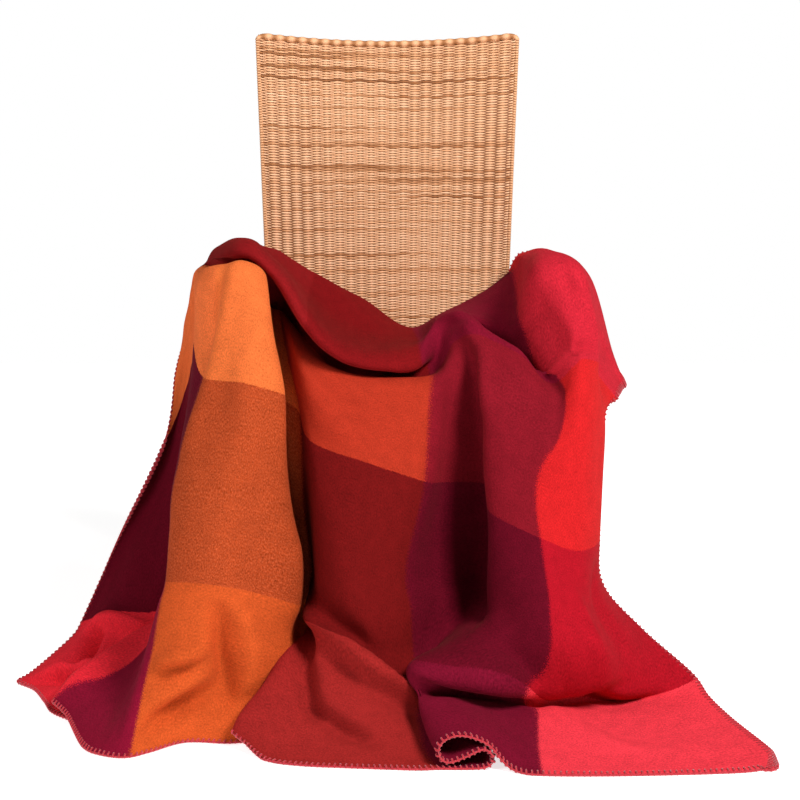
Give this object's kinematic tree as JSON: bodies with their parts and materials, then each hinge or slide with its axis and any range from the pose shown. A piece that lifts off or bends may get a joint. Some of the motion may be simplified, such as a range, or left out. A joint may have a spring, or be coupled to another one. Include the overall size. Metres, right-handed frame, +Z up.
{
  "type": "wool blanket on a wicker chair",
  "caption": "Large-check wool blanket thrown over the arms and seat of a plain wicker chair, falling in front to the floor, where it spreads in uneven pleats.",
  "frame": {"origin": "on the floor, under the middle of the bounding box", "axes": "+Z up, -Y the way a sitter on the chair looks, +X to the right of someone who faces the chair"},
  "size_m": [1.0752, 0.8224, 0.952],
  "materials": {
    "wool": "milled wool with a raised nap, in checks of red, plum, rust and orange",
    "wicker": "woven wicker",
    "cane": "bare cane"
  },
  "bodies": {
    "root": {"blanket": "wool", "back_panel": "wicker", "seat": "wicker", "arm_left": "wicker", "arm_right": "wicker", "post_front_left": "cane", "post_front_right": "cane", "post_rear_left": "cane", "post_rear_right": "cane", "rail_left": "cane", "rail_right": "cane", "rail_cross": "cane"}
  },
  "joints": []
}
